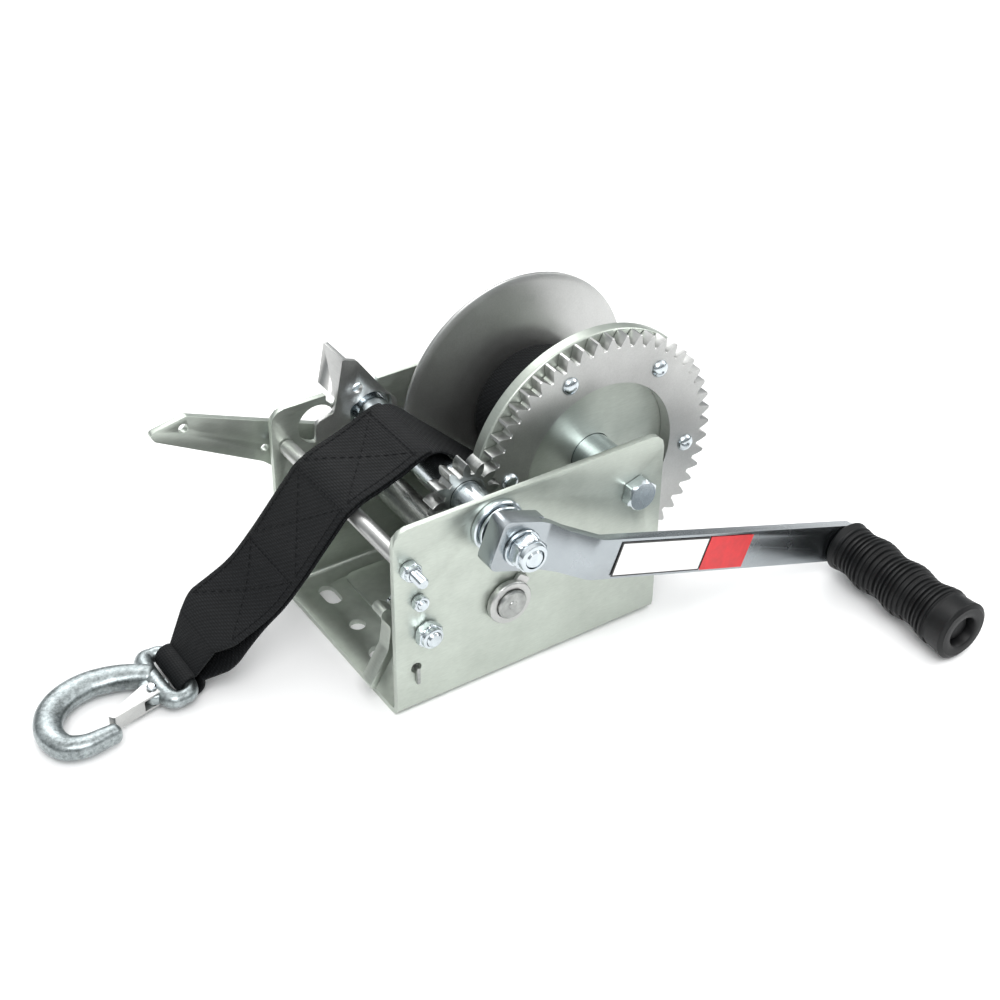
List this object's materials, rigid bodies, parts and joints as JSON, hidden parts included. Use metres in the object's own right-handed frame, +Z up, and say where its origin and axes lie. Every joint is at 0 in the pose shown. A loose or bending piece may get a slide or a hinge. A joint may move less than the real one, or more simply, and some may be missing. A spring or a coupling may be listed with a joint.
{
  "type": "boat trailer winch",
  "caption": "Geared hand winch in a bent steel frame, with crank and rubber grip, webbing strap and snap hook, sliding gear shift, pawl and hand brake.",
  "frame": {"origin": "middle of the underside of the base, on the surface the winch is bolted to", "axes": "+X from the strap outlet towards the reel, +Y from the crank side to the brake lever side, +Z up"},
  "size_m": [0.4483, 0.2634, 0.1585],
  "materials": {
    "zinc_sheet": "zinc plated, satin",
    "bright_steel": "bright zinc plated",
    "dark_steel": "plain machined steel",
    "forged_zinc": "forged, zinc plated",
    "rubber": "moulded, matt",
    "webbing": "woven polyester",
    "label": "printed film"
  },
  "bodies": {
    "frame": {"frame_channel": "zinc_sheet", "front_spacer_tube": "zinc_sheet", "front_bolt": "bright_steel", "front_bolt_nut": "bright_steel", "stop_screw": "bright_steel", "stop_screw_nut": "bright_steel", "pawl_bolt": "bright_steel", "pawl_spacer": "bright_steel", "pawl_bolt_nut": "bright_steel", "pawl_spring": "dark_steel", "drive_bush_near": "zinc_sheet", "drive_bush_far": "zinc_sheet", "layshaft_bush_near": "zinc_sheet", "layshaft_bush_far": "zinc_sheet", "reel_axle_bolt": "bright_steel", "reel_axle_nut": "bright_steel", "axle_sleeve": "zinc_sheet", "brake_bolt": "bright_steel", "brake_spacer": "zinc_sheet", "brake_nut": "bright_steel", "shift_lock_pivot": "zinc_sheet", "strap_tail": "webbing"},
    "reel": {"reel_drum": "dark_steel", "reel_flange_near": "zinc_sheet", "reel_flange_far": "zinc_sheet", "reel_gear": "dark_steel", "gear_rivet_1": "bright_steel", "gear_rivet_2": "bright_steel", "gear_rivet_3": "bright_steel", "gear_rivet_4": "bright_steel", "gear_rivet_5": "bright_steel", "gear_rivet_6": "bright_steel", "strap_winding": "webbing"},
    "layshaft": {"layshaft": "dark_steel", "layshaft_gear": "dark_steel", "layshaft_pinion": "dark_steel", "layshaft_ring": "dark_steel"},
    "shifter": {"shift_washer": "bright_steel"},
    "drive": {"drive_shaft": "bright_steel", "drive_pinion": "dark_steel", "crank_arm": "bright_steel", "crank_washer": "bright_steel", "crank_nut": "bright_steel", "crank_label": "label", "grip_spindle": "bright_steel"},
    "grip": {"grip": "rubber"},
    "shift_lock": {"shift_lock_plate": "zinc_sheet"},
    "pawl": {"pawl": "zinc_sheet"},
    "brake": {"brake_lever": "zinc_sheet", "brake_shoe": "dark_steel"},
    "hook": {"hook": "forged_zinc", "latch_pin": "bright_steel"},
    "latch": {"hook_latch": "zinc_sheet"}
  },
  "joints": [
    {"name": "reel_spin", "type": "hinge", "parent": "frame", "child": "reel", "pos_m": [0.0634, 0, 0.0855], "axis": [0, 1, 0], "continuous": true},
    {"name": "layshaft_spin", "type": "hinge", "parent": "frame", "child": "layshaft", "pos_m": [-0.0153, 0, 0.04888], "axis": [0, 1, 0], "continuous": true},
    {"name": "gear_shift", "type": "slide", "parent": "frame", "child": "shifter", "axis": [0, -1, 0], "range_m": [0, 0.0062]},
    {"name": "drive_spin", "type": "hinge", "parent": "shifter", "child": "drive", "pos_m": [-0.02238, 0, 0.09878], "axis": [0, 1, 0], "continuous": true},
    {"name": "grip_spin", "type": "hinge", "parent": "drive", "child": "grip", "pos_m": [0.18997, -0.13, 0.01854], "axis": [0, 1, 0], "continuous": true},
    {"name": "shift_lock_turn", "type": "hinge", "parent": "frame", "child": "shift_lock", "pos_m": [-0.04, 0.058, 0.081], "axis": [0, 1, 0], "range_deg": [-6, 0], "stiffness_Nm_per_rad": 0.6, "springref_deg": 8.59},
    {"name": "pawl_turn", "type": "hinge", "parent": "frame", "child": "pawl", "pos_m": [-0.0628, -0.05, 0.0493], "axis": [0, 1, 0], "range_deg": [-10, 10]},
    {"name": "brake_turn", "type": "hinge", "parent": "frame", "child": "brake", "pos_m": [-0.04, 0.07, 0.062], "axis": [0, 1, 0], "range_deg": [-5, 4]},
    {"name": "hook_swing", "type": "hinge", "parent": "frame", "child": "hook", "pos_m": [-0.16, 0.02, 0.0086], "axis": [0, 1, 0], "range_deg": [0, 50]},
    {"name": "latch_turn", "type": "hinge", "parent": "hook", "child": "latch", "pos_m": [-0.179, 0.0115, 0.008], "axis": [0, 0, 1], "range_deg": [-22, 0], "stiffness_Nm_per_rad": 0.05, "springref_deg": 8.59}
  ],
  "couplings": [
    {"joint": "layshaft_spin", "follows": "reel_spin", "ratio": -4.1667},
    {"joint": "drive_spin", "follows": "reel_spin", "ratio": -4.1667}
  ]
}
